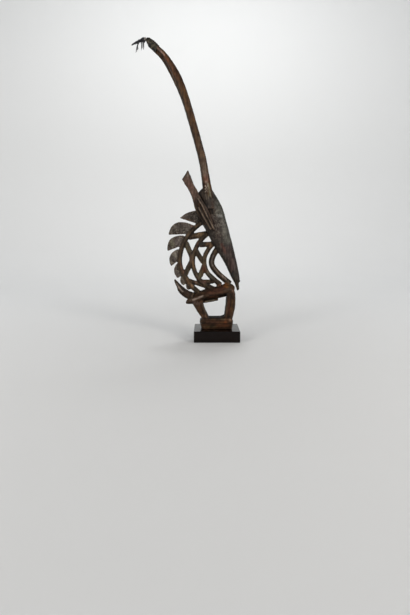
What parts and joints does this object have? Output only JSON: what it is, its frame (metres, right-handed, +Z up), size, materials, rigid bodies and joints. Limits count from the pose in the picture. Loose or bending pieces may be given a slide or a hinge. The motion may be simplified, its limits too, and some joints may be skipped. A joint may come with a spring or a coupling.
{
  "type": "carved wooden crest headdress",
  "caption": "Tall carved wooden antelope crest with pierced mane, grooved ears and long horns bound at their tips, standing on a glossy black plinth.",
  "frame": {"origin": "middle of the flat underside of the plinth", "axes": "+Z up towards the horn tips, +X the way the muzzle faces, +Y across the plinth to the far side of the crest"},
  "size_m": [0.4263, 0.16, 1.1624],
  "materials": {
    "patinated_wood": "dark brown patina, worn and slightly waxed, with grey-green encrusted patches",
    "black_wood": "glossy black-brown lacquer",
    "hide": "old dry hide, matt and dusty",
    "hair": "black animal hair",
    "cotton": "undyed cotton thread"
  },
  "bodies": {
    "root": {"crest_carving": "patinated_wood", "plinth": "black_wood", "tip_binding": "hide", "hair_tuft": "hair", "tuft_thread": "cotton"}
  },
  "joints": []
}
